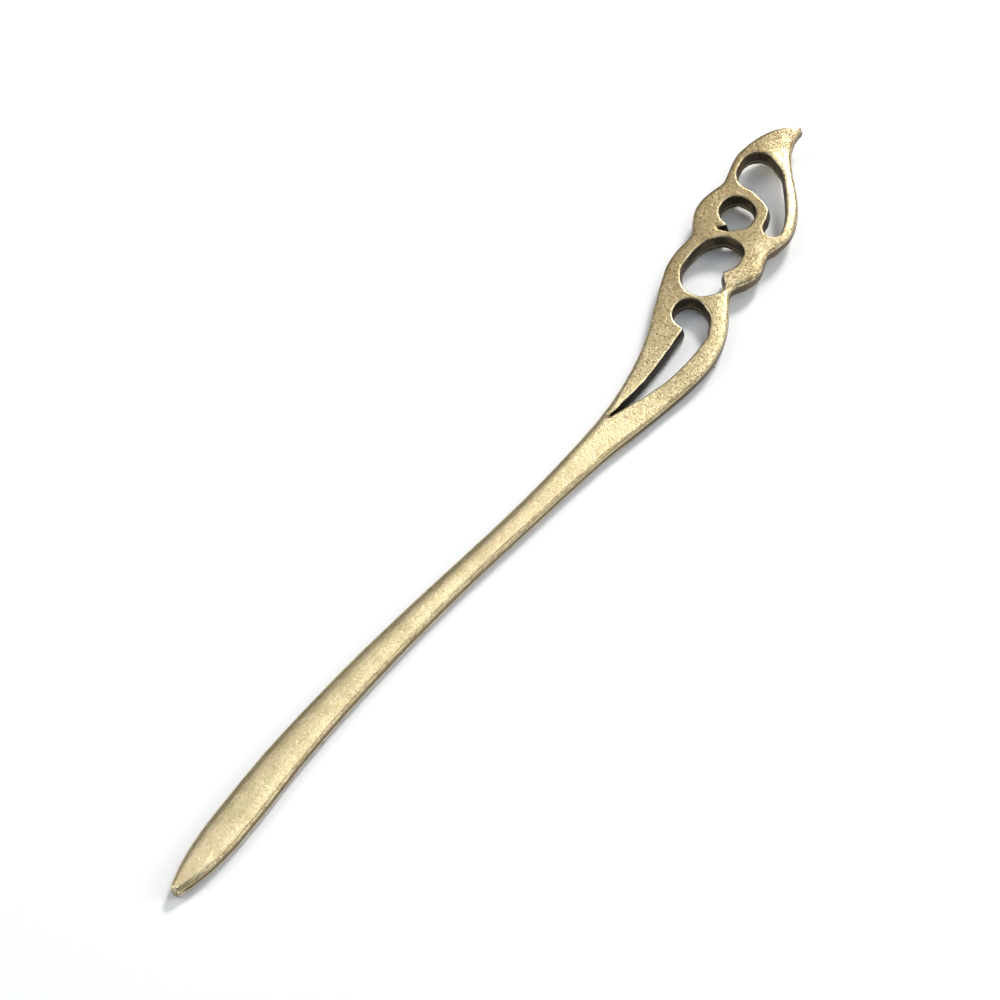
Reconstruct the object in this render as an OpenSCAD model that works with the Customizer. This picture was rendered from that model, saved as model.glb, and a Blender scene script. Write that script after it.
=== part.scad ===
// A hair stick cast in one piece: a slim leaf-shaped blade with a blunt point and a slow sway,
// a fork, and a pierced scroll head that ends in a leaf with a hooked tip.
// Millimetres, +Z up. It lies on its flat underside, z = 0. +X runs from the point to the head,
// and the origin is at the bottom centre of the whole stick.

/* [Blade] */
// Length from the blunt point to the crotch of the fork
blade_len = 94.8; // [80:0.2:120]
// Widest part of the blade, a little behind the point
belly_w = 5.55; // [4.6:0.05:7]
// Narrowest part of the blade, below the fork
waist_w = 3.75; // [3.2:0.05:4.8]
// Width of the blunt end
point_w = 1.6; // [1:0.1:2.4]
// Length over which the blunt end widens into the belly
point_len = 15; // [9:0.5:24]
// Sideways run of the centre line between the belly and the fork
sway = 6.4; // [3:0.1:9]

/* [Head] */
// Length from the crotch of the fork to the hooked tip
head_len = 55.1; // [50:0.1:64]
// Width that the shares in the head's tables are taken from
head_w = 16.8; // [15:0.1:20]
// Upward slope of the head, the height that it gains on each millimetre of length
lift_slope = 0.06; // [0:0.005:0.1]
// Distance from the crotch of the fork to the middle of the bend where that slope begins
bend_at = 6; // [3:0.5:14]

/* [Openings] */
// Diameter of the round eye where the slot of the fork ends
eye_d = 4.8; // [4:0.05:5.2]
// Diameter of the round opening in the ring below the leaf
ring_d = 4.9; // [4.2:0.05:5.4]
// Metal added to the edge of every opening
strap_extra = 0; // [-0.15:0.05:0.25]

/* [Casting] */
// Thickness of the blade
thick = 2.35; // [2:0.05:3]
// How much thicker the head is than the blade
head_extra = 0.65; // [0.3:0.05:0.8]
// How far the blade's top falls from its crown to its shoulders
dome_h = 0.85; // [0.4:0.05:1]
// Height of the mould's parting line above the underside of the blade, where the casting is widest
part_h = 0.75; // [0.5:0.05:0.9]
// How far the underside is set in from the parting line
under_in = 0.35; // [0.1:0.05:0.5]
// How far the outer walls lean in above the parting line
outer_draft = 0.1; // [0:0.02:0.25]
// How far the walls of the openings lean in, from the rim down to the parting line
inner_draft = 0.25; // [0:0.05:0.35]
// Rounding of the head's rims
rim_r = 0.2; // [0.1:0.05:0.4]

/* [Hidden] */

// Fineness of the form: length of one step along the blade, at its point, along the head and at its
// hooked tip, how far before the fork the head's steps begin, the run of the tip's steps, and the
// sides of a disc wider and narrower than bead_r
blade_step = 3.2;
point_step = 1.1;
head_step = 0.6;
tip_step = 0.2;
head_lead = 6;
tip_run = 1.2;
disc_sides = 32;
bead_sides = 14;
bead_r = 1;

// Finest details that stay the same at every size: least radius of an opening's end, height above
// the top at which a rim's cut ends, how far a cut runs past the metal, and half the distance over
// which an edge's slope is read
least_r = 0.12;
rim_over = 0.03;
cut_past = 0.6;
slope_gap = 0.05;

// Columns of the blade's table. Its rows run from the point to just below the fork.
ALONG = 0;  // share of blade_len, from the point
SWAY = 1;   // centre line, share of sway
GIRTH = 2;  // width between the waist, 0, and the belly, 1
blade_rows = [
    [0.00, 0.958, 1.00], [0.02, 0.960, 1.00], [0.05, 0.962, 1.00], [0.10, 0.965, 1.00],
    [0.16, 0.975, 1.00], [0.27, 1.000, 0.83], [0.37, 0.950, 0.61], [0.48, 0.845, 0.39],
    [0.58, 0.705, 0.17], [0.69, 0.517, 0.02], [0.79, 0.332, 0.04], [0.90, 0.155, 0.31],
    [0.95, 0.080, 0.58]
];

// Columns of the head's edges: place along the head, share of head_len from the crotch,
// place across it, share of head_w from the middle of the fork, and 1 at a notch
REACH = 0;
ACROSS = 1;
NOTCH = 2;
far_rows = [
    [0.000, 0.170, 0], [0.054, 0.179, 0], [0.118, 0.204, 0], [0.190, 0.246, 0],
    [0.263, 0.314, 0], [0.336, 0.412, 0], [0.408, 0.508, 0], [0.454, 0.557, 0],
    [0.500, 0.572, 0], [0.544, 0.559, 0], [0.570, 0.555, 1], [0.590, 0.599, 0],
    [0.613, 0.648, 0], [0.659, 0.684, 0], [0.702, 0.663, 0], [0.742, 0.624, 1],
    [0.775, 0.653, 0], [0.829, 0.689, 0], [0.880, 0.666, 0], [0.926, 0.615, 0],
    [0.962, 0.540, 0], [0.988, 0.446, 0], [0.997, 0.407, 0], [1.000, 0.388, 0]
];
near_rows = [
    [0.000, -0.170, 0], [0.064, -0.213, 0], [0.136, -0.257, 0], [0.204, -0.295, 0],
    [0.272, -0.313, 0], [0.336, -0.291, 0], [0.390, -0.230, 0], [0.439, -0.138, 0],
    [0.470, -0.070, 0], [0.488, -0.043, 0], [0.506, -0.057, 0], [0.535, -0.113, 0],
    [0.572, -0.149, 0], [0.608, -0.118, 0], [0.634, -0.091, 1], [0.665, -0.126, 0],
    [0.708, -0.151, 0], [0.753, -0.116, 0], [0.808, -0.012, 0], [0.853, 0.124, 0],
    [0.898, 0.260, 0], [0.935, 0.336, 0], [0.971, 0.368, 0], [0.991, 0.369, 0],
    [1.000, 0.372, 0]
];

// Columns of the top edge's table: place along the whole stick, share of its length, how far the
// rounding reaches in on each side, share of half the width, and 1 where the near edge is filed flat
PLACE = 0;
NEAR_ROUND = 1;
FAR_ROUND = 2;
FILED = 3;
edge_rows = [
    [0.00, 0.45, 0.60, 1.0], [0.03, 0.36, 0.75, 0.8], [0.06, 0.85, 0.95, 0.0],
    [0.10, 1.00, 1.00, 0.0], [0.40, 1.00, 1.00, 0.0], [0.46, 0.30, 1.00, 0.4],
    [0.50, 0.12, 0.90, 0.8], [0.60, 0.08, 0.50, 1.0], [0.68, 0.04, 0.10, 1.0],
    [0.74, 0.00, 0.00, 0.0], [1.00, 0.00, 0.00, 0.0]
];

// Each opening is a chain of discs. Columns: place along and across the head, in the shares
// of its edges, and radius, share of disc_unit
DISC_R = 2;
slot_rows = [
    [0.002, 0.103, 0.003], [0.026, 0.081, 0.013], [0.064, 0.052, 0.030], [0.100, 0.021, 0.046],
    [0.136, -0.001, 0.058], [0.172, -0.019, 0.074], [0.209, -0.029, 0.086],
    [0.245, -0.035, 0.095], [0.281, -0.034, 0.103], [0.316, -0.030, 0.105],
    [0.338, -0.030, 0.102], [0.366, 0.046, 0.125]
];
eye_at = [0.370, 0.120];
oval_rows = [
    [0.479, 0.102, 0.083], [0.476, 0.235, 0.179], [0.486, 0.270, 0.171], [0.523, 0.281, 0.160],
    [0.549, 0.263, 0.164], [0.564, 0.224, 0.165], [0.586, 0.164, 0.096]
];
ring_at = [0.690, 0.366];
ring_rows = [[0.694, 0.333, 0.134], [0.682, 0.318, 0.124]];
tail_rows = [
    [0.664, 0.274, 0.052], [0.638, 0.329, 0.030], [0.629, 0.362, 0.018], [0.625, 0.385, 0.012],
    [0.622, 0.404, 0.009]
];
leaf_rows = [
    [0.811, 0.448, 0.155], [0.815, 0.399, 0.162], [0.828, 0.451, 0.161], [0.816, 0.353, 0.163],
    [0.784, 0.180, 0.099], [0.759, 0.086, 0.074], [0.729, 0.038, 0.079], [0.704, 0.018, 0.085]
];
// The discs shrink with the head's smaller side, so that the bars between them stay
head_shape = 0.305;
disc_unit = min(head_w, head_len * head_shape);

// The point of the blade: how full its curve is
point_fullness = 2.7;

// Shares of an edge's rounding at which the section has a corner, and the share of half the width
// that the rounding, the lean of the wall and the inset of the underside may take
round_steps = [0.05, 0.16, 0.36, 0.66, 1];
round_room = 0.98;
lean_room = 0.25;
inset_room = 0.8;

total_len = blade_len + head_len;
x_point = -total_len / 2;
x_tip = total_len / 2;
x_fork = x_point + blade_len;
x_bend = x_fork + bend_at;
// Half the length that the head's bend is spread over
bend_half = 3;
// How far the parting line sinks in the head, share of the thickness that the head gains
part_sinks = 0.6;

function mix(a, b, t) = a + (b - a) * t;
function clamp(v, low, high) = min(max(v, low), high);

// Width of the blade at a distance s from the blunt end, for a full width w
function tapered(w, s) =
    let (t = clamp(s / point_len, 0, 1))
    point_w + (w - point_w) * (1 - pow(1 - t, point_fullness));

// Points [x, y, notch] of one edge in the fork's frame: side is 1 on the far and -1 on the near side
function blade_points(side) = [
    for (row = blade_rows)
        let (s = row[ALONG] * blade_len, w = mix(waist_w, belly_w, row[GIRTH]))
        [s - blade_len, row[SWAY] * sway + side * tapered(w, s) / 2, 0]
];
function head_points(rows) = [
    for (row = rows) [row[REACH] * head_len, row[ACROSS] * head_w, row[NOTCH]]
];
far_points = concat(blade_points(1), head_points(far_rows));
near_points = concat(blade_points(-1), head_points(near_rows));
y_top = max([for (p = far_points) p.y]);
y_low = min([for (p = near_points) p.y]);
y_fork = -(y_top + y_low) / 2;

// Smooth curve y(x) through points [x, y, notch], with its own slope on each side of a notch
function run_slope(p, i) = (p[i + 1].y - p[i].y) / (p[i + 1].x - p[i].x);
function slope_at(p, i, ahead) =
    let (last = len(p) - 1)
    i == 0 ? run_slope(p, 0) :
    i == last ? run_slope(p, last - 1) :
    p[i][NOTCH] == 1 ? run_slope(p, ahead ? i : i - 1) :
    let (h0 = p[i].x - p[i - 1].x, h1 = p[i + 1].x - p[i].x)
    (run_slope(p, i - 1) * h1 + run_slope(p, i) * h0) / (h0 + h1);
function curve_y(p, x) =
    let (
        i = max([for (k = [0 : len(p) - 2]) if (k == 0 || p[k].x <= x) k]),
        h = p[i + 1].x - p[i].x,
        t = clamp((x - p[i].x) / h, 0, 1),
        m0 = slope_at(p, i, true) * h,
        m1 = slope_at(p, i + 1, false) * h,
        a = 2 * pow(t, 3) - 3 * pow(t, 2) + 1,
        b = pow(t, 3) - 2 * pow(t, 2) + t,
        c = 3 * pow(t, 2) - 2 * pow(t, 3),
        d = pow(t, 3) - pow(t, 2)
    )
    a * p[i].y + b * m0 + c * p[i + 1].y + d * m1;

// Slope of an edge read across a short gap, so that a notch gets the mean of its two sides
function edge_slope(p, x) =
    (curve_y(p, x + slope_gap) - curve_y(p, x - slope_gap)) / (2 * slope_gap);

// Eased value of one column of the top edge's table at place u
function edge_at(col, u) =
    let (
        r = edge_rows,
        i = max([for (k = [0 : len(r) - 2]) if (k == 0 || r[k][PLACE] <= u) k]),
        t = clamp((u - r[i][PLACE]) / (r[i + 1][PLACE] - r[i][PLACE]), 0, 1),
        eased = t * t * (3 - 2 * t)
    )
    mix(r[i][col], r[i + 1][col], eased);

// How far the top has risen over the blade's: not at all, then the bend, then a straight rise
function lift(x) =
    let (s = x - x_bend)
    s <= -bend_half ? 0 :
    s >= bend_half ? lift_slope * s :
    lift_slope * pow(s + bend_half, 2) / (4 * bend_half);

// Thickness gained: the underside stays on the table until the risen top has made the head thick enough
function gained(x) = min(lift(x), head_extra);

// Height of the top over the blade's underside, where the rounding has come in by share t of its reach
function rounded_z(drop, filed, t) =
    thick - drop + drop * mix(sqrt(1 - pow(1 - t, 2)), t, filed);

// One side of a section where the metal has gained some thickness, from the underside up to the flat
// of the top: [inset, height]
function side_profile(half_w, round, filed, stretch, more) =
    let (
        drop = mix(rim_r, dome_h, sqrt(round)),
        room = half_w * round_room,
        lean = min(outer_draft * stretch, room * lean_room),
        reach = min(mix(rim_r * stretch, room - lean, round), room - lean)
    )
    [
        [min(under_in * stretch, room * inset_room), -more],
        [0, part_h - part_sinks * more],
        [lean, thick - drop],
        for (t = round_steps) [lean + reach * t, rounded_z(drop, filed, t)]
    ];

// A closed section across the stick at x, near side first
function section(x) =
    let (
        fx = x - x_fork,
        u = (x - x_point) / total_len,
        yf = curve_y(far_points, fx),
        yn = curve_y(near_points, fx),
        sf = edge_slope(far_points, fx),
        sn = edge_slope(near_points, fx),
        half_w = (yf - yn) / 2,
        more = gained(x),
        near = side_profile(half_w, edge_at(NEAR_ROUND, u), edge_at(FILED, u), sqrt(1 + sn * sn), more),
        far = side_profile(half_w, edge_at(FAR_ROUND, u), 0, sqrt(1 + sf * sf), more),
        n = len(near)
    )
    [
        for (p = near) [x, y_fork + yn + p[0], lift(x) + p[1]],
        for (i = [n - 1 : -1 : 0]) [x, y_fork + yf - far[i][0], lift(x) + far[i][1]]
    ];

// Places of the sections: close together at the point and in the head
function steps(a, b, step) =
    let (n = ceil((b - a) / step))
    [for (i = [0 : n - 1]) mix(a, b, i / n)];
section_xs = concat(
    steps(x_point, x_point + point_len, point_step),
    steps(x_point + point_len, x_fork - head_lead, blade_step),
    steps(x_fork - head_lead, x_tip - tip_run, head_step),
    steps(x_tip - tip_run, x_tip, tip_step),
    [x_tip]
);

// The cast form before it is pierced, one skin drawn through all the sections
module solid_form() {
    rings = [for (x = section_xs) section(x)];
    n = len(rings[0]);
    last = len(rings) - 1;
    polyhedron(
        points = [for (ring = rings) for (p = ring) p],
        faces = concat(
            [[for (k = [n - 1 : -1 : 0]) k]],
            [[for (k = [0 : n - 1]) last * n + k]],
            [for (i = [0 : last - 1]) for (k = [0 : n - 1])
                let (a = i * n + k, b = i * n + (k + 1) % n) [a, b, a + n]],
            [for (i = [0 : last - 1]) for (k = [0 : n - 1])
                let (a = i * n + k, b = i * n + (k + 1) % n) [a + n, b, b + n]]
        )
    );
}

// An opening's wall, from below the underside to above the rim. Columns: height above a plane that
// lies the blade's thickness under the top, and how far the wall has moved out. The shares before it
// place the middle corner of the rim's curve, the rim above the top, and the wall at its lower end.
UP = 0;
OUT = 1;
rim_mid_z = 0.35;
rim_mid_out = 0.3;
rim_top_out = 1.2;
under_lean = 0.3;
wall_profile = [
    [-head_extra - cut_past, -inner_draft * under_lean], [part_h - part_sinks * head_extra, -inner_draft],
    [thick - rim_r, 0], [thick - rim_r * rim_mid_z, rim_r * rim_mid_out],
    [thick + rim_over, rim_r * rim_top_out], [thick + cut_past, rim_r * rim_top_out]
];

// One disc of a chain between two heights of the wall profile. It is turned from a drawing that holds
// both heights themselves, so that two bands meet exactly and leave no film of metal between them.
module wall_disc(disc, band) {
    low = wall_profile[band];
    high = wall_profile[band + 1];
    r = disc[DISC_R] - strap_extra;
    translate([disc.x, disc.y, 0])
        rotate_extrude($fn = r > bead_r ? disc_sides : bead_sides)
            polygon([
                [0, low[UP]], [max(r + low[OUT], least_r), low[UP]],
                [max(r + high[OUT], least_r), high[UP]], [0, high[UP]]
            ]);
}

// An opening cut by a tapering tool that runs from disc to disc
module opening(discs) {
    for (i = [0 : len(discs) - 2])
        for (band = [0 : len(wall_profile) - 2])
            hull() {
                wall_disc(discs[i], band);
                wall_disc(discs[i + 1], band);
            }
}

// Discs of a chain in millimetres, from the crotch and the middle of the fork
function chain(rows) = [
    for (row = rows) [row[REACH] * head_len, row[ACROSS] * head_w, row[DISC_R] * disc_unit]
];
function round_hole(at, d) = [at[REACH] * head_len, at[ACROSS] * head_w, d / 2];

// Lays tools that are drawn flat, from the fork, square to metal that rises at a slope from x_rise on
module on_rise(x_rise, slope) {
    translate([x_rise, y_fork, thick])
        rotate([0, -atan(slope), 0])
            translate([x_fork - x_rise, 0, -thick])
                children();
}

// The slot runs through the bend, so its discs up to the bend's end follow the mean rise of the bend
module openings() {
    slot = concat(chain(slot_rows), [round_hole(eye_at, eye_d)]);
    bend_end = bend_at + bend_half;
    last = max([for (i = [1 : len(slot) - 1]) if (slot[i - 1].x < bend_end) i]);
    on_rise(x_bend - bend_half, lift_slope / 2)
        opening([for (i = [0 : last]) slot[i]]);
    on_rise(x_bend, lift_slope) {
        opening([for (i = [last : len(slot) - 1]) slot[i]]);
        opening(chain(oval_rows));
        opening(concat([round_hole(ring_at, ring_d)], chain(ring_rows)));
        opening(chain(tail_rows));
        opening(chain(leaf_rows));
    }
}

module hair_stick() {
    color([0.77, 0.67, 0.47])
        difference() {
            solid_form();
            openings();
        }
}

hair_stick();
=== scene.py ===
# %% [markdown]
# # An antique brass hair stick
# The real thing is one casting about 150 mm long: a slim domed blade, a fork, and a pierced scroll
# head that ends in a hooked leaf. The CAD model gives its exact form and size. These cells turn that
# form into worn metal: they make an even skin, give it the marks of casting, filing and wear, and
# build a brass that has aged in its hollows and stayed bright on its edges.

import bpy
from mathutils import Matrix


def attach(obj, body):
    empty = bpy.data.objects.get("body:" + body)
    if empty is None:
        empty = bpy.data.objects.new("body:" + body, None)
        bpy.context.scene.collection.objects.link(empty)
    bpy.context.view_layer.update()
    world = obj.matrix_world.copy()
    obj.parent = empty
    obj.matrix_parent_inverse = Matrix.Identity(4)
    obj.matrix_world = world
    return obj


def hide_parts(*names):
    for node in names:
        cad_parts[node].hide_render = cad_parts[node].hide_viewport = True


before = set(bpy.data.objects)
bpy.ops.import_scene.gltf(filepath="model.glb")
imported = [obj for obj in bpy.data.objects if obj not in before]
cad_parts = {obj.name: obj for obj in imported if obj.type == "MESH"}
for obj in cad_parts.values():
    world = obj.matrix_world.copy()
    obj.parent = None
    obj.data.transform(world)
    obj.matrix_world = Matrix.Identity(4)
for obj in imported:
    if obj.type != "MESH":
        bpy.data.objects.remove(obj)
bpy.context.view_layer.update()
print("CAD nodes:", sorted(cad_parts))

# %% Tools that the cells share
import math
import random

import bmesh
import bpy
import numpy as np
from mathutils import Vector, kdtree, noise

MM = 0.001  # the scene is in metres, and a casting is easier to think about in millimetres
scene = bpy.context.scene
print("one unit is a metre, one millimetre is", MM)

# %% [markdown]
# ## The camera
# The camera has a long lens and looks down at 60 degrees, from about 0.8 m, on a stick that lies on a
# white table. A long lens flattens perspective, so the angle matters more than the distance. It could
# be turned by hand until the view fits. Working from the direction in which it sits, and one point
# that it aims at, needs no trial and error.

# %% Place the camera
AZIMUTH, ELEVATION = -54, 60  # in degrees
DISTANCE = 0.8  # in metres
LENS = 205.06  # in mm
AIM = Vector((0.35, 3.31, 1.2)) * MM


def seen_from(azimuth, elevation):
    """The direction towards an onlooker: azimuth 0 is -Y and 90 is +X, both angles in degrees."""
    a, e = math.radians(azimuth), math.radians(elevation)
    return Vector((math.sin(a) * math.cos(e), -math.cos(a) * math.cos(e), math.sin(e)))


def point_at(thing, aim, direction, distance):
    """Stands a camera or lamp off in a direction, looking back at the aim."""
    thing.location = aim + direction * distance
    thing.rotation_mode = "QUATERNION"
    thing.rotation_quaternion = (-direction).to_track_quat("-Z", "Y")
    scene.collection.objects.link(thing)


camera_data = bpy.data.cameras.new("camera")
camera_data.lens = LENS
camera_data.clip_start, camera_data.clip_end = 0.01, 20
camera = bpy.data.objects.new("camera", camera_data)
point_at(camera, AIM, seen_from(AZIMUTH, ELEVATION), DISTANCE)
scene.camera = camera
print("camera at", tuple(round(v, 3) for v in camera.location))

# %% [markdown]
# ## An even skin
# The CAD mesh is made of long thin triangles, which are exact but can't hold small marks. Cutting
# them smaller would only give more slivers. A voxel remesh lays a grid of even squares over the same
# form instead, fine enough for a pit or a worn rim. The flat underside needs no such detail, so most
# of its squares are thinned away again. The CAD mesh itself stays as it is: this works on a copy,
# whose corners are merged first so that it is one closed skin.

# %% Copy the casting and remesh it
VOXEL = 0.156  # mm along the side of one square
SAME_CORNER = 1e-6  # corners closer than this, in metres, become one


def merged_copy(name):
    """A copy of a CAD node's mesh with its corners merged, in millimetres."""
    bm = bmesh.new()
    bm.from_mesh(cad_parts[name].data)
    bmesh.ops.remove_doubles(bm, verts=bm.verts, dist=SAME_CORNER)
    bmesh.ops.scale(bm, vec=(1 / MM,) * 3, verts=bm.verts)
    mesh = bpy.data.meshes.new(name + "_merged")
    bm.to_mesh(mesh)
    bm.free()
    return mesh


def with_modifier(mesh, kind, group=None, **settings):
    """The mesh after one modifier; group is the list of corners that the modifier works on."""
    rough = bpy.data.objects.new("rough", mesh)
    scene.collection.objects.link(rough)
    modifier = rough.modifiers.new(kind, kind)
    if group:
        rough.vertex_groups.new(name="chosen").add(group, 1.0, "REPLACE")
        modifier.vertex_group = "chosen"
    for name, value in settings.items():
        setattr(modifier, name, value)
    made = bpy.data.meshes.new_from_object(rough.evaluated_get(bpy.context.evaluated_depsgraph_get()))
    bpy.data.objects.remove(rough)
    return made


even = with_modifier(merged_copy("hair_stick"), "REMESH", mode="VOXEL", voxel_size=VOXEL)
print("even skin:", len(even.vertices), "corners,", len(even.polygons), "squares")

# %% Thin the flat underside
FACING_DOWN = -0.99  # corners of the flat underside point straight down, which is -1
KEPT = 0.715  # the share of the triangles that may stay
flat_below = [v.index for v in even.vertices if v.normal.z < FACING_DOWN]
thinned = with_modifier(even, "DECIMATE", flat_below, decimate_type="COLLAPSE", ratio=KEPT)
skin = bmesh.new()
skin.from_mesh(thinned)
skin.verts.ensure_lookup_table()
triangles = sum(len(face.verts) - 2 for face in skin.faces)
print(len(flat_below), "corners lie underneath;", triangles, "triangles after thinning")

# %% [markdown]
# ## Know where everything is
# Wear and patina follow the form: hands polish outer edges, and dark patina stays in openings and
# low on the walls. So the skin is measured first. For every quarter of a millimetre along the stick
# this notes the near edge, the far edge and the top, and from those how far each corner of the skin
# lies from the outer edge and how deep below the top.

# %% Read and move the corners of the skin
def corners():
    """The corners of the skin as rows of x, y, z, in millimetres."""
    return np.array([v.co for v in skin.verts])


def outward():
    """The outward direction at each corner."""
    skin.normal_update()
    return np.array([v.normal for v in skin.verts])


def place_corners(xyz):
    for vert, co in zip(skin.verts, xyz):
        vert.co = co


print("the skin has", len(skin.verts), "corners to measure")

# %% Measure the outline
SLICE = 0.25  # mm of length for each reading


def edge_line(place, value, lowest):
    """The lowest or highest value in each slice of the length, as a smooth function of the place."""
    slot = ((place - place.min()) / SLICE).astype(int)
    best = np.full(slot.max() + 1, np.inf if lowest else -np.inf)
    (np.minimum if lowest else np.maximum).at(best, slot, value)
    padded = np.pad(best, 1, mode="edge")
    best = (padded[:-2] + padded[1:-1] + padded[2:]) / 3
    middles = place.min() + (np.arange(len(best)) + 0.5) * SLICE
    return lambda x: np.interp(x, middles, best)


def inset(xyz, edge):
    """Distance in from one outer edge, square to it."""
    x = xyz[:, 0]
    slope = (edge(x + SLICE) - edge(x - SLICE)) / (2 * SLICE)
    return np.abs(xyz[:, 1] - edge(x)) / np.sqrt(1 + slope**2)


rest = corners()
near_edge = edge_line(rest[:, 0], rest[:, 1], True)
far_edge = edge_line(rest[:, 0], rest[:, 1], False)
top = edge_line(rest[:, 0], rest[:, 2], False)
from_near = inset(rest, near_edge)
from_far = inset(rest, far_edge)
from_outer = np.minimum(from_near, from_far)
below_top = top(rest[:, 0]) - rest[:, 2]
print("widest", round(float((far_edge(rest[:, 0]) - near_edge(rest[:, 0])).max()), 2), "mm")

# %% [markdown]
# ## Smooth without shrinking
# Smoothing moves each corner towards the middle of its neighbours. It takes away the small steps of
# the remesh, but it also melts every edge. Pushing back by a little more than each round of smoothing
# took keeps the edges, and the steps still go, because they are much finer than the form.

# %% Take off the steps of the remesh
ROUNDS = 4
SMOOTH, PUSH_BACK = 0.5, -0.53


def smooth(chosen, rounds, factor=SMOOTH, up_too=True):
    for _ in range(rounds):
        bmesh.ops.smooth_vert(
            skin, verts=chosen, factor=factor, use_axis_x=True, use_axis_y=True, use_axis_z=up_too
        )


def picked(mask):
    return [skin.verts[i] for i in np.flatnonzero(mask)]


for _ in range(ROUNDS):
    smooth(skin.verts, 1)
    smooth(skin.verts, 1, PUSH_BACK)
print("smoothed", len(skin.verts), "corners", ROUNDS, "times")

# %% [markdown]
# ## Openings, edges and crown
# Each opening was filed by hand, so its wall is one flowing curve: the walls are smoothed sideways
# only, which rounds their course and keeps their height. Smoothing draws a hole in a little, so they
# are moved back by as much. The slot starts in a point finer than the squares of the skin, which
# leaves a ragged step there, and that is eased by itself. The outer edges of the head are broadly
# rounded by tumbling and by fingers, and its top falls away towards them in a slight crown, most of
# all towards the near side of the leaf.

# %% File the walls of the openings
FILED_FROM = 22.5  # x past which the slot is wide enough to be filed
INSIDE = 0.5  # a wall this far in from the outer edges belongs to an opening
UPRIGHT = 0.8  # a wall points up or down by less than this
WALL_ROUNDS = 30
xyz, away = corners(), outward()
wall = (from_outer > INSIDE) & (np.abs(away[:, 2]) < UPRIGHT) & (xyz[:, 0] > FILED_FROM)
smooth(picked(wall), WALL_ROUNDS, up_too=False)
drawn_in = ((corners() - xyz) * away)[wall, :2].sum(axis=1).mean()
filed = corners()
filed[wall, :2] -= away[wall, :2] * drawn_in
place_corners(filed)
print("walls:", int(wall.sum()), "corners, moved back by", round(float(drawn_in), 3), "mm")

# %% Ease the start of the slot
SLOT_START = (19.7, -1.35)  # x and y of the slot's point
EASED, EASE_ROUNDS = 0.8, 8  # how far around it the skin is smoothed, and how often
TOP_HALF = 1.25  # how far below the top the upper half of the metal ends
top_half = below_top < TOP_HALF
start = np.hypot(rest[:, 0] - SLOT_START[0], rest[:, 1] - SLOT_START[1]) < EASED
smooth(picked(start & top_half), EASE_ROUNDS)
print("eased", int((start & top_half).sum()), "corners at the start of the slot")

# %% Round the outer edges of the head
HEAD_FROM = 24  # x at which the straps of the head have spread
NEAR_BAND, FAR_BAND = 0.9, 0.6  # how far in from each edge the rounding reaches
NEAR_ROUNDS, FAR_ROUNDS = 12, 4
head_top = top_half & (rest[:, 0] > HEAD_FROM)
smooth(picked(head_top & (from_near < NEAR_BAND)), NEAR_ROUNDS)
smooth(picked(head_top & (from_far < FAR_BAND)), FAR_ROUNDS)
print("rounded", int((head_top & (from_near < NEAR_BAND)).sum()), "corners of the near edge")

# %% Crown the top of the head
def ramp(value, start, end):
    """0 before start, 1 past end, with a soft slope between; start may be the larger."""
    t = np.clip((value - start) / (end - start), 0, 1)
    return t * t * (3 - 2 * t)


NEAR_REACH, NEAR_DROP = 2.2, 0.14  # how far in the top falls away, and by how much
LEAF_REACH, LEAF_DROP = 1.2, 0.16  # what the leaf adds to both
FAR_REACH, FAR_DROP = 1.4, 0.07
LEAF_FROM, LEAF_FULL = 54, 66  # x between which the leaf takes over from the ring
CROWN_FROM, CROWN_FULL = 16, 28  # x between which the crown sets in
CROWN_GONE, CROWN_DEEP = 1.45, 0.25  # mm below the top where it has faded out, and where it is full
xyz = corners()
leaf = ramp(xyz[:, 0], LEAF_FROM, LEAF_FULL)
near_reach = NEAR_REACH + LEAF_REACH * leaf
near_drop = NEAR_DROP + LEAF_DROP * leaf
fall = near_drop * np.clip(1 - from_near / near_reach, 0, 1) ** 2
fall += FAR_DROP * np.clip(1 - from_far / FAR_REACH, 0, 1) ** 2
fall *= ramp(xyz[:, 0], CROWN_FROM, CROWN_FULL) * ramp(below_top, CROWN_GONE, CROWN_DEEP)
xyz[:, 2] -= fall
place_corners(xyz)
print("the crown falls by up to", round(float(fall.max()), 2), "mm")

# %% [markdown]
# ## The marks of casting
# Metal poured in a mould is never quite flat. It has slow swells, a fine orange peel, and small pits
# left by gas. All three are moves of the skin along its own outward direction, so the light breaks on
# real shape and not only on a painted pattern. The random pits come from a seeded generator, which
# gives the same ones on every run. Where the two halves of the mould met, a thin broken ridge of
# flash stands out along the near edge of the blade.

# %% Swells and orange peel
SWELL, PEEL, GRIT = (0.2, 0.012), (0.75, 0.007), (2.2, 0.006)  # waves per millimetre, depth in mm
UNDERNEATH = -0.9  # corners that point further down than this are the ground underside


def waves(xyz, kind, seed):
    """Soft random heights for the corners; each seed gives another pattern."""
    per_mm, depth = kind
    shift = Vector((seed, seed, seed))
    return depth * np.array([noise.noise(Vector(p) * per_mm + shift) for p in xyz])


xyz, away = corners(), outward()
relief = waves(xyz, SWELL, 3.1) + waves(xyz, PEEL, 7.7) + waves(xyz, GRIT, 12.9)
relief[away[:, 2] < UNDERNEATH] = 0
place_corners(xyz + away * relief[:, None])
print("relief from", round(float(relief.min()), 3), "to", round(float(relief.max()), 3), "mm")

# %% Gas pits
PITS = 380
PIT_R, PIT_DEPTH = (0.16, 0.32), (0.012, 0.035)  # the smallest and the largest, in mm
FACING_UP = 0.5  # corners that point further up than this can have a pit
chance = random.Random(15)
xyz, away = corners(), outward()
tree = kdtree.KDTree(len(xyz))
for i, p in enumerate(xyz):
    tree.insert(p, i)
tree.balance()
sunk = np.zeros(len(xyz))


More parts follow.
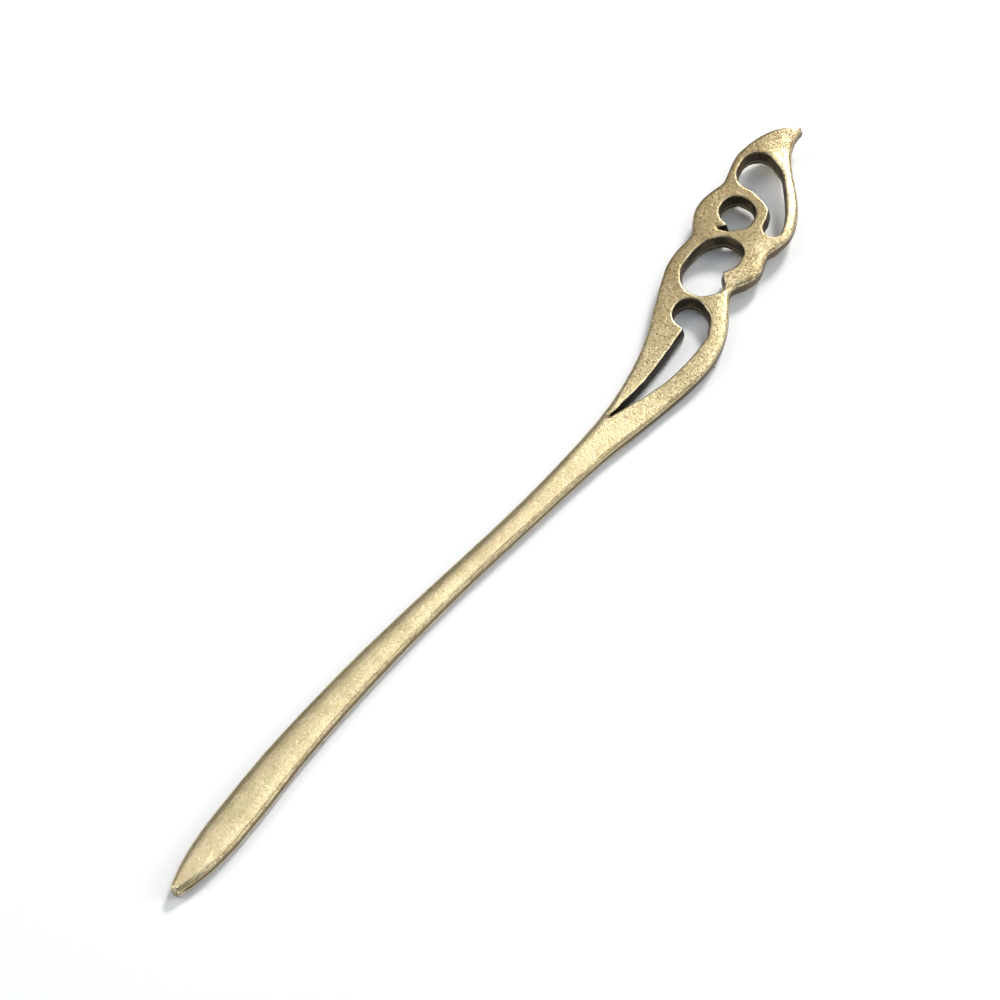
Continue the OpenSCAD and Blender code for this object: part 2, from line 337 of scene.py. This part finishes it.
def sink(middle, radius, depth):
    """Presses a round dent; a depth below zero raises a bead."""
    for _, i, gap in tree.find_range(middle, radius):
        press = depth * (1 - (gap / radius) ** 2) ** 2
        sunk[i] = max(sunk[i], press) if depth > 0 else min(sunk[i], press)


upper = np.flatnonzero(away[:, 2] > FACING_UP)
for _ in range(PITS):
    sink(xyz[chance.choice(upper)], chance.uniform(*PIT_R), chance.uniform(*PIT_DEPTH))
print(PITS, "pits reach", int((sunk > 0).sum()), "corners")

# %% Nicks and beads of the near edge
RIM_HEIGHT = 1.7  # z near which the upper rim of the blade is looked for
MARKS = [  # x, distance in from the near edge, radius and depth in mm; beads have a depth below zero
    (-10.1, 0.15, 0.38, -0.07), (-11.0, 0.2, 0.3, 0.06), (-12.7, 0.15, 0.4, 0.10),
    (-6.2, 0.3, 0.35, 0.07), (-2.4, 0.2, 0.3, 0.05), (-67.4, 0.4, 0.3, -0.07),
    (-68.6, 0.4, 0.26, -0.06), (-50.5, 0.2, 0.35, 0.06), (-40.0, 0.15, 0.3, 0.05),
    (8.5, 0.3, 0.4, 0.08), (12.8, 0.3, 0.3, -0.05), (-25.4, 0.2, 0.3, 0.06), (-58.0, 0.2, 0.3, 0.05),
]
for x, distance_in, radius, depth in MARKS:
    _, i, _ = tree.find(Vector((x, near_edge(x) + distance_in, RIM_HEIGHT)))
    sink(xyz[i], radius, depth)
place_corners(xyz - away * sunk[:, None])
print(len(MARKS), "marks along the near edge")

# %% The mould's flash
FLASH_AT, FLASH_HALF = 1.6, 0.22  # how far below the top it runs, and half its height
FLASH_OUT = 0.07  # how far it stands out
FLASH_STARTS, FLASH_FULL = 0.4, 0.1  # mm in from the near edge where it starts, and where it is full
FLASH_END, FLASH_GONE = 18, 22  # x between which tumbling has taken it off
BREAKS_PER_MM = 0.9
xyz = corners()
ridge = ramp(np.abs(below_top - FLASH_AT), FLASH_HALF, 0) * ramp(from_near, FLASH_STARTS, FLASH_FULL)
ridge *= ramp(xyz[:, 0], FLASH_GONE, FLASH_END)
whole = np.array([0.6 + 0.8 * noise.noise(Vector((x * BREAKS_PER_MM, 5.5, 0))) for x in xyz[:, 0]])
stands_out = FLASH_OUT * ridge * np.clip(whole, 0, 1)
xyz[:, 1] -= stands_out
place_corners(xyz)
print("the flash stands out by up to", round(float(stands_out.max()), 3), "mm")

# %% [markdown]
# ## Notes of the form for the material
# A material can only guess where an edge or a hollow is, but the mesh knows. Each note is one number
# for each corner of the skin, stored as a named attribute: how deep it lies below the top, how far it
# is from the near and the far edge, whether it belongs to an opening, how sharply the skin bends
# outwards there, and how steeply it stands. The material turns these notes into patina and wear.

# %% Read the bends of the skin
def neighbour_mean(value, pairs, count):
    """The mean of a value over the corners that each corner is joined to."""
    total = np.zeros(len(value))
    np.add.at(total, pairs[:, 0], value[pairs[:, 1]])
    np.add.at(total, pairs[:, 1], value[pairs[:, 0]])
    return total / count


skin.verts.index_update()
pairs = np.array([[e.verts[0].index, e.verts[1].index] for e in skin.edges])
count = np.bincount(pairs.ravel(), minlength=len(skin.verts))
xyz, away = corners(), outward()
across = xyz[pairs[:, 1]] - xyz[pairs[:, 0]]
across /= np.linalg.norm(across, axis=1)[:, None]
bend = np.zeros(len(xyz))
np.add.at(bend, pairs[:, 0], -(across * away[pairs[:, 0]]).sum(axis=1))
np.add.at(bend, pairs[:, 1], (across * away[pairs[:, 1]]).sum(axis=1))
bend = neighbour_mean(bend / count, pairs, count)
print("bend from", round(float(bend.min()), 2), "in hollows", round(float(bend.max()), 2), "on edges")

# %% Find the openings
SLOT_FROM = 18.5  # x past which the stick has openings
STANDS = (0.3, 0.75)  # how steep a wall is where it starts to count, and where it counts in full
INNER = (0.55, 0.75)  # mm in from the outer edges, past which a wall belongs to an opening
SPREAD = 3  # rounds in which a wall's note spreads to its rims
flank = ramp(1 - np.abs(away[:, 2]), *STANDS)
opening = flank * ramp(from_outer, *INNER) * (xyz[:, 0] > SLOT_FROM)
for _ in range(SPREAD):
    opening = np.maximum(opening, neighbour_mean(opening, pairs, count))
notes = {
    "below_top": below_top,
    "from_near": from_near,
    "from_far": from_far,
    "opening": opening,
    "bend": bend,
    "flank": flank,
}
print("corners in openings:", int((opening > 0.5).sum()))

# %% [markdown]
# ## The finished piece
# The skin goes back to metres and becomes one object at the origin. It stands for the CAD node, which
# stays hidden underneath for the physics.

# %% Make the casting
bmesh.ops.scale(skin, vec=(MM,) * 3, verts=skin.verts)
for face in skin.faces:
    face.smooth = True
casting_mesh = bpy.data.meshes.new("hair_stick_casting")
skin.to_mesh(casting_mesh)
skin.free()
for name, value in notes.items():
    note = casting_mesh.attributes.new(name, "FLOAT", "POINT")
    note.data.foreach_set("value", value.astype(np.float32))
casting = bpy.data.objects.new("hair_stick_casting", casting_mesh)
scene.collection.objects.link(casting)
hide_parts("hair_stick")
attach(casting, "root")
print(casting.name, "has", len(casting_mesh.polygons), "faces")

# %% [markdown]
# ## Small helpers for nodes
# A shader is a chain of small steps. These helpers keep each step to one line: one adds any node, one
# does a sum, one turns a stretch of values into a soft 0 to 1, one makes a cloudy noise, and one lays
# a colour over another.

# %% Node helpers
def put(tree, kind, ins, **settings):
    """Adds a node. Each input, by name or number, is a plain value or another node's output."""
    node = tree.nodes.new("ShaderNode" + kind)
    for name, value in settings.items():
        setattr(node, name, value)
    for key, value in ins.items():
        if isinstance(value, bpy.types.NodeSocket):
            tree.links.new(value, node.inputs[key])
        else:
            node.inputs[key].default_value = value
    return node


def calc(tree, operation, a, b=0.0, clamp=False):
    return put(tree, "Math", {0: a, 1: b}, operation=operation, use_clamp=clamp).outputs[0]


def span(tree, value, start, end, low=0.0, high=1.0):
    """Low at start and high at end, with a soft step between them; start may be the larger."""
    ins = {"Value": value, "From Min": start, "From Max": end, "To Min": low, "To Max": high}
    return put(tree, "MapRange", ins, interpolation_type="SMOOTHSTEP").outputs[0]


def mottled(tree, place, scale, detail, roughness=0.5):
    """A cloudy noise that wanders round 0.5; a larger scale makes it finer."""
    ins = {"Vector": place, "Scale": scale, "Detail": detail, "Roughness": roughness}
    return put(tree, "TexNoise", ins).outputs[0]


def blend(tree, mask, base, over):
    """The base colour where the mask is 0, the other where it is 1."""
    return put(tree, "Mix", {0: mask, 6: base, 7: over}, data_type="RGBA").outputs[2]


print("node helpers are ready")

# %% Helpers for node groups
def new_group(name, inputs, outputs):
    """An empty node group: its tree, the sockets that it is given, and those that it puts out."""
    tree = bpy.data.node_groups.new(name, "ShaderNodeTree")
    for socket_name, kind in inputs:
        tree.interface.new_socket(socket_name, in_out="INPUT", socket_type="NodeSocket" + kind)
    for socket_name in outputs:
        tree.interface.new_socket(socket_name, in_out="OUTPUT", socket_type="NodeSocketFloat")
    return tree, tree.nodes.new("NodeGroupInput").outputs, tree.nodes.new("NodeGroupOutput").inputs


def use_group(tree, group, **ins):
    """Places a group. An underscore in an input's name stands for a space."""
    node = tree.nodes.new("ShaderNodeGroup")
    node.node_tree = group
    for name, value in ins.items():
        socket = node.inputs[name.replace("_", " ")]
        if isinstance(value, bpy.types.NodeSocket):
            tree.links.new(value, socket)
        else:
            socket.default_value = value
    return node.outputs


print("group helpers are ready")

# %% [markdown]
# ## Grain
# Antique brass is made by darkening the whole piece and then rubbing it back, so a fine dark grain is
# left in every low spot. One noise at one size looks like a printed pattern. A group with its own
# size and amount can be laid at two or three sizes, which looks like metal.

# %% The grain group
grain_group, given, made = new_group(
    "metal_grain", [("Place", "Vector"), ("Per mm", "Float"), ("From", "Float"), ("To", "Float")],
    ["Dark", "Height"],
)
grain = mottled(grain_group, given["Place"], given["Per mm"], 3.0, 0.65)
grain_group.links.new(span(grain_group, grain, given["From"], given["To"]), made["Dark"])
grain_group.links.new(calc(grain_group, "SUBTRACT", 0.5, grain), made["Height"])
print("grain group takes", [s.name for s in grain_group.interface.items_tree])

# %% [markdown]
# ## Fans of scratches
# Two places on the head carry a fan of short scratches, left by a polishing wheel that touched down
# there. They are streaks that change with the angle round a centre and fade with the distance from
# it, so one group with a centre and a reach makes both.

# %% The scratch group
scratch_group, given, made = new_group(
    "scratch_fan",
    [("Place", "Vector"), ("Centre", "Vector"), ("Reach", "Float"), ("Streaks", "Float")],
    ["Scratch"],
)
s = scratch_group
offset = put(s, "VectorMath", {0: given["Place"], 1: given["Centre"]}, operation="SUBTRACT").outputs[0]
parts = put(s, "SeparateXYZ", {0: offset}).outputs
angle = calc(s, "ARCTAN2", parts["Y"], parts["X"])
gap = put(s, "VectorMath", {0: offset}, operation="LENGTH").outputs["Value"]
turn = calc(s, "MULTIPLY", angle, given["Streaks"])
wander = put(s, "CombineXYZ", {0: turn, 1: calc(s, "MULTIPLY", gap, 0.5)}).outputs[0]
lines = span(s, mottled(s, wander, 1.0, 1.0), 0.48, 0.56)
near_centre = span(s, calc(s, "DIVIDE", gap, given["Reach"]), 1.0, 0.6)
past_middle = span(s, gap, 0.4, 0.9)
mask = calc(s, "MULTIPLY", near_centre, past_middle)
s.links.new(calc(s, "MULTIPLY", lines, mask), made["Scratch"])
print("scratch group takes", [item.name for item in s.interface.items_tree])

# %% [markdown]
# ## Antique brass
# The base is a pale brass with faint rosy and greenish tints. Over it lie, from broad to fine: cloudy
# patina, lengthwise brushing on the blade, grain at two sizes and small pits. The walls of the
# openings are nearly black-brown below their rims, because no cloth reaches in there, and every edge
# that bends outwards is rubbed bright. Some of the colour is painted light: painted shade, mixed with
# patina, darkens the outer walls and the head away from its near edge; painted shade darkens the far
# edge of the blade and the point of the slot; and painted highlights lie on the burnished flash and on
# the ledge in the openings. Patina is a thin oxide, so it is less metallic and rougher than bare
# brass.
# All this could be painted on by hand, but masks that are worked out from the notes lie exactly on the
# form, and one table of layers then says what covers what.
# Every mask runs from 0 to 1, and the two numbers of its span say where it is 0 and where it is 1:
# millimetres for a place or a distance, and a plain value for a noise.

# %% Colours of the metal
PALE = (0.75, 0.635, 0.39, 1)
ROSY = (0.81, 0.62, 0.44, 1)
OLIVE = (0.63, 0.59, 0.31, 1)
# bare rubbed brass, also used as the painted highlight on the flash
WORN_AND_HIGHLIGHT = (0.95, 0.87, 0.66, 1)
CLOUDY = (0.53, 0.435, 0.235, 1)
HEAD_SHADE_AND_PATINA = (0.35, 0.28, 0.155, 1)
DARK = (0.13, 0.08, 0.02, 1)
BROWN = (0.19, 0.135, 0.07, 1)
# near-black patina of the openings and hollows, also used as painted shade
PATINA_AND_SHADE_BLACK = (0.052, 0.038, 0.023, 1)
SOOTY = (0.012, 0.009, 0.007, 1)
print("the metal runs from", PALE[:3], "to", SOOTY[:3])

# %% Places and notes
brass = bpy.data.materials.new("antique_brass")
brass.use_nodes = True
b = brass.node_tree
shader = b.nodes["Principled BSDF"]
object_place = put(b, "TexCoord", {}).outputs["Object"]
place = put(b, "VectorMath", {0: object_place, "Scale": 1 / MM}, operation="SCALE").outputs[0]
along = put(b, "SeparateXYZ", {0: place}).outputs["X"]


def noted(name):
    return put(b, "Attribute", {}, attribute_name=name).outputs["Fac"]


def times(*values):
    """All the values multiplied together."""
    total = values[0]
    for value in values[1:]:
        total = calc(b, "MULTIPLY", total, value)
    return total


def close_to(value, middle, half_width):
    """1 where the value is at the middle, 0 from the half width on."""
    off = calc(b, "ABSOLUTE", calc(b, "SUBTRACT", value, middle))
    return span(b, off, half_width, half_width * 0.4)


deep, near, far, in_opening, edge, steep = (
    noted(n) for n in ("below_top", "from_near", "from_far", "opening", "bend", "flank")
)
outer = calc(b, "MINIMUM", near, far)
on_blade = span(b, along, 26.0, 12.0)
on_head = calc(b, "SUBTRACT", 1.0, on_blade)
print("brass reads", len(notes), "notes")

# %% Clouds of patina, and painted shade on the head
cloud = mottled(b, place, 0.3, 3.0, 0.55)
cloudy = span(b, cloud, 0.4, 0.66)
tint = mottled(b, place, 1.5, 3.0, 0.6)
rosy, olive = span(b, tint, 0.5, 0.66), span(b, tint, 0.5, 0.34)
# Painted shade mixed with patina: the head darkens away from its near edge, as if that side were lit
# less, most of all in its middle between the openings.
head_shade_and_patina = times(span(b, near, 0.9, 4.8), span(b, along, 28.0, 46.0), span(b, along, 88.0, 68.0))
head_shade_and_patina = times(head_shade_and_patina, span(b, cloud, 0.3, 0.6, 0.75, 1.0))
print("clouds and aged places are ready")

# %% Grain at two sizes
FINE, BROAD = 3.6, 1.4  # per mm
fine_grain = use_group(b, grain_group, Place=place, Per_mm=FINE, From=0.42, To=0.7)
broad_grain = use_group(b, grain_group, Place=place, Per_mm=BROAD, From=0.5, To=0.7)
fine_amount = span(b, along, 14.0, 30.0, 0.4, 0.95)
fine_amount = times(fine_amount, span(b, along, -72.0, -60.0, 0.3, 1.0))
broad_amount = span(b, along, 14.0, 30.0, 0.2, 0.45)
print("grain per mm:", FINE, "and", BROAD)

# %% Brushing along the blade
BRUSH_ALONG, BRUSH_ACROSS = 0.22, 5.0  # per mm: long streaks lie close together
brush_place = put(b, "CombineXYZ", {
    0: calc(b, "MULTIPLY", along, BRUSH_ALONG),
    1: calc(b, "MULTIPLY", near, BRUSH_ACROSS),
}).outputs[0]
brushed = mottled(b, brush_place, 1.0, 3.0, 0.7)
brush_dark = times(span(b, brushed, 0.5, 0.7), on_blade)
print("a streak is about", round(BRUSH_ACROSS / BRUSH_ALONG), "times as long as wide")

# %% Pits
PIT_CELLS, LARGEST_PIT = 1.2, 0.16  # per mm, and a radius as a share of a cell
cells = put(b, "TexVoronoi", {"Vector": place, "Scale": PIT_CELLS, "Randomness": 1.0})
pick = put(b, "SeparateColor", {0: cells.outputs["Color"]}).outputs[0]
pit_size = span(b, pick, 0.4, 1.0, 0.0, LARGEST_PIT)
pit = span(b, calc(b, "SUBTRACT", cells.outputs["Distance"], pit_size), 0.04, -0.04)
print("pits are up to", round(LARGEST_PIT / PIT_CELLS, 2), "mm in radius")

# %% Scratches
FANS = [((52.0, -5.9, 3.9), 3.6, 9.0), ((71.7, 4.1, 5.05), 2.2, 9.0)]  # centre, reach, streaks
scratches = 0.0
for centre, reach, streaks in FANS:
    fan = use_group(b, scratch_group, Place=place, Centre=centre, Reach=reach, Streaks=streaks)
    scratches = calc(b, "MAXIMUM", scratches, fan["Scratch"])
print("fans of scratches:", len(FANS))

# %% Where rubbing keeps the metal bright, and a painted highlight on the flash
at_slot_start = times(close_to(along, SLOT_START[0], 2.2), span(b, outer, 0.3, 0.8))
rubbed = times(span(b, edge, 0.05, 0.17), calc(b, "SUBTRACT", 1.0, at_slot_start))
# The flash is burnished, and its pale colour also paints the thin highlight that the ridge shows.
flash = times(close_to(deep, FLASH_AT, 0.25), span(b, near, 0.3, 0.2), on_blade)
print("rims and flash are ready")

# %% Where the patina stays, with painted shade on the outer walls and a painted highlight on the ledge
wall_dark = times(in_opening, span(b, deep, 0.18, 0.3))
# Painted highlight with less patina: a lighter band on the parting ledge of the opening walls, where
# the ridge catches light.
ledge_highlight = times(in_opening, close_to(deep, 2.0, 0.16))
hollow = span(b, edge, -0.06, -0.2)
# Painted shade with some patina: the outer walls are darkened low down, where they would mirror the
# shadow on the table.
outer_wall_shade_and_patina = times(span(b, steep, 0.2, 0.6), span(b, outer, 0.5, 0.3), span(b, deep, 0.5, 0.9))
outer_wall_shade_and_patina = times(outer_wall_shade_and_patina, span(b, along, -74.6, -73.6))
print("walls, ledge and hollows are ready")

# %% Stains along the near edge of the blade
ragged = span(b, brushed, 0.35, 0.55)
crease = times(close_to(near, 0.46, 0.13), span(b, along, 24.0, 18.0), ragged)
above_flash = times(close_to(deep, 1.2, 0.3), span(b, near, 0.5, 0.25))
undercut = times(above_flash, span(b, tint, 0.42, 0.56), on_blade)
stained = times(close_to(near, 0.25, 0.4), span(b, tint, 0.48, 0.6), on_blade)
print("stains are ready")

# %% The very start of the slot
# The skin can't follow the point of the slot all the way, so painted shade draws the last bit of it,
# as the dark of a thin gap.
DRAWN_AT = (19.9, -1.4, 0)
flat_place = put(b, "VectorMath", {0: place, 1: (1, 1, 0)}, operation="MULTIPLY").outputs[0]
from_point = put(b, "VectorMath", {0: flat_place, 1: DRAWN_AT}, operation="DISTANCE").outputs["Value"]
clear_of_underside = span(b, deep, 2.1, 1.8)
slot_point_shade = times(span(b, from_point, 0.42, 0.3), clear_of_underside)
print("the slot's point is drawn at", DRAWN_AT[:2])

# %% Colour
LAYERS = [  # mask, strength, colour
    (rosy, 0.8, ROSY),
    (olive, 0.65, OLIVE),
    (cloudy, 0.45, CLOUDY),
    (on_head, 0.2, CLOUDY),
    # painted shade and patina on the head, away from its near edge
    (head_shade_and_patina, 0.95, HEAD_SHADE_AND_PATINA),
    (brush_dark, 0.25, CLOUDY),
    # painted shade: the blade darkens towards its far edge, where its dome faces away from the bright
    # lamps
    (times(span(b, far, 1.4, 0.2), on_blade), 0.35, CLOUDY),
    (broad_grain["Dark"], broad_amount, DARK),
    (fine_grain["Dark"], fine_amount, DARK),
    (pit, 0.55, DARK),
    (scratches, 0.6, DARK),
    (rubbed, 0.85, WORN_AND_HIGHLIGHT),
    (crease, 0.6, DARK),
    (stained, 0.4, BROWN),
    # painted shade with some patina on the outer walls, darker still on the head
    (outer_wall_shade_and_patina, 0.95, BROWN),
    (times(outer_wall_shade_and_patina, on_head), 0.55, PATINA_AND_SHADE_BLACK),
    (undercut, 0.75, DARK),
    # burnished flash, with a painted highlight
    (flash, 0.9, WORN_AND_HIGHLIGHT),
    (times(hollow, on_head), 0.9, PATINA_AND_SHADE_BLACK),
    (wall_dark, 1.0, blend(b, span(b, cloud, 0.45, 0.7), PATINA_AND_SHADE_BLACK, BROWN)),
    (times(wall_dark, span(b, along, 43.0, 36.0)), 0.8, SOOTY),
    # painted highlight on the ledge
    (ledge_highlight, 0.65, CLOUDY),
    # painted shade at the point of the slot
    (slot_point_shade, 0.95, PATINA_AND_SHADE_BLACK),
]
colour = PALE
for mask, strength, layer in LAYERS:
    colour = blend(b, times(mask, strength), colour, layer)
b.links.new(colour, shader.inputs["Base Color"])
print("colour has", len(LAYERS), "layers")

# %% Metal and gloss
BARE, OXIDE = (1.0, 0.34), (0.7, 0.5)  # how metallic, and how rough
POLISH = 0.13  # how much smoother a rubbed rim is
unrubbed = calc(b, "SUBTRACT", 1.0, rubbed, clamp=True)
patina = calc(b, "MAXIMUM", wall_dark, times(fine_grain["Dark"], unrubbed))
b.links.new(span(b, patina, 0.0, 1.0, BARE[0], OXIDE[0]), shader.inputs["Metallic"])
rough = span(b, patina, 0.0, 1.0, BARE[1], OXIDE[1])
b.links.new(calc(b, "SUBTRACT", rough, times(rubbed, POLISH)), shader.inputs["Roughness"])
print("roughness runs from", round(BARE[1] - POLISH, 2), "to", OXIDE[1])

# %% Relief
RELIEF = [  # height, and how many mm of it
    (fine_grain["Height"], 0.037),
    (pit, -0.012),
    (scratches, -0.016),
    (times(brushed, on_blade), 0.008),
    (crease, -0.03),
]
relief_mm = 0.0
for layer, depth in RELIEF:
    relief_mm = calc(b, "ADD", relief_mm, times(layer, depth))
bump = put(b, "Bump", {"Height": relief_mm, "Distance": MM, "Strength": 1.0})
b.links.new(bump.outputs[0], shader.inputs["Normal"])
casting_mesh.materials.append(brass)
print(brass.name, "has", len(b.nodes), "nodes")

# %% [markdown]
# ## The table and the light
# The table is plain and white. One small, strong softbox behind the stick gives the crisp shadows,
# which fall towards the onlooker and leave spots of light inside the openings. The others are weak and
# broad: some stand where the domed metal mirrors them, and the bluish ones fill the shadows.

# %% Table
HALF_TABLE = 3  # half its width, in metres
floor_mesh = bpy.data.meshes.new("table")
bm = bmesh.new()
bmesh.ops.create_grid(bm, x_segments=1, y_segments=1, size=HALF_TABLE)
bm.to_mesh(floor_mesh)
bm.free()
floor = bpy.data.objects.new("table", floor_mesh)
scene.collection.objects.link(floor)
white = bpy.data.materials.new("white_table")
white.use_nodes = True
white.node_tree.nodes["Principled BSDF"].inputs["Base Color"].default_value = (0.9, 0.9, 0.9, 1)
white.node_tree.nodes["Principled BSDF"].inputs["Roughness"].default_value = 0.9
floor_mesh.materials.append(white)
print("table is", floor.dimensions[0], "m wide")

# %% Lamps and room
LAMP_DISTANCE = 1.0  # in metres
WARM, COOL = (1, 0.985, 0.96), (0.75, 0.87, 1)
SKY, SKY_STRENGTH = (0.6, 0.8, 1, 1), 0.07


def softbox(name, azimuth, elevation, size, power, glow):
    """A square light that looks at the stick."""
    data = bpy.data.lights.new(name, "AREA")
    data.shape = "SQUARE"
    data.size = size
    data.energy = power
    data.color = glow
    lamp = bpy.data.objects.new(name, data)
    point_at(lamp, Vector(), seen_from(azimuth, elevation), LAMP_DISTANCE)


SOFTBOXES = [  # name, azimuth, elevation, size, power in watts, colour
    ("key", 100, 41, 0.2, 7.5, WARM), ("behind_high", 170, 62, 0.4, 0.95, WARM),
    ("right", 58, 62, 0.4, 1.2, WARM), ("right_high", 75, 52, 0.3, 0.4, WARM),
    ("overhead", 0, 88, 0.6, 0.6, COOL), ("left", -144, 35, 0.35, 1.6, WARM),
    ("behind_left", -165, 51, 0.35, 1.5, WARM), ("front_right", 36, 30, 0.4, 3.2, WARM),
    ("front", -10, 60, 0.4, 1.0, COOL),
]
for lamp in SOFTBOXES:
    softbox(*lamp)
world = bpy.data.worlds.new("studio")
world.use_nodes = True
world.node_tree.nodes["Background"].inputs["Color"].default_value = SKY
world.node_tree.nodes["Background"].inputs["Strength"].default_value = SKY_STRENGTH
scene.world = world
scene.view_settings.view_transform = "Standard"
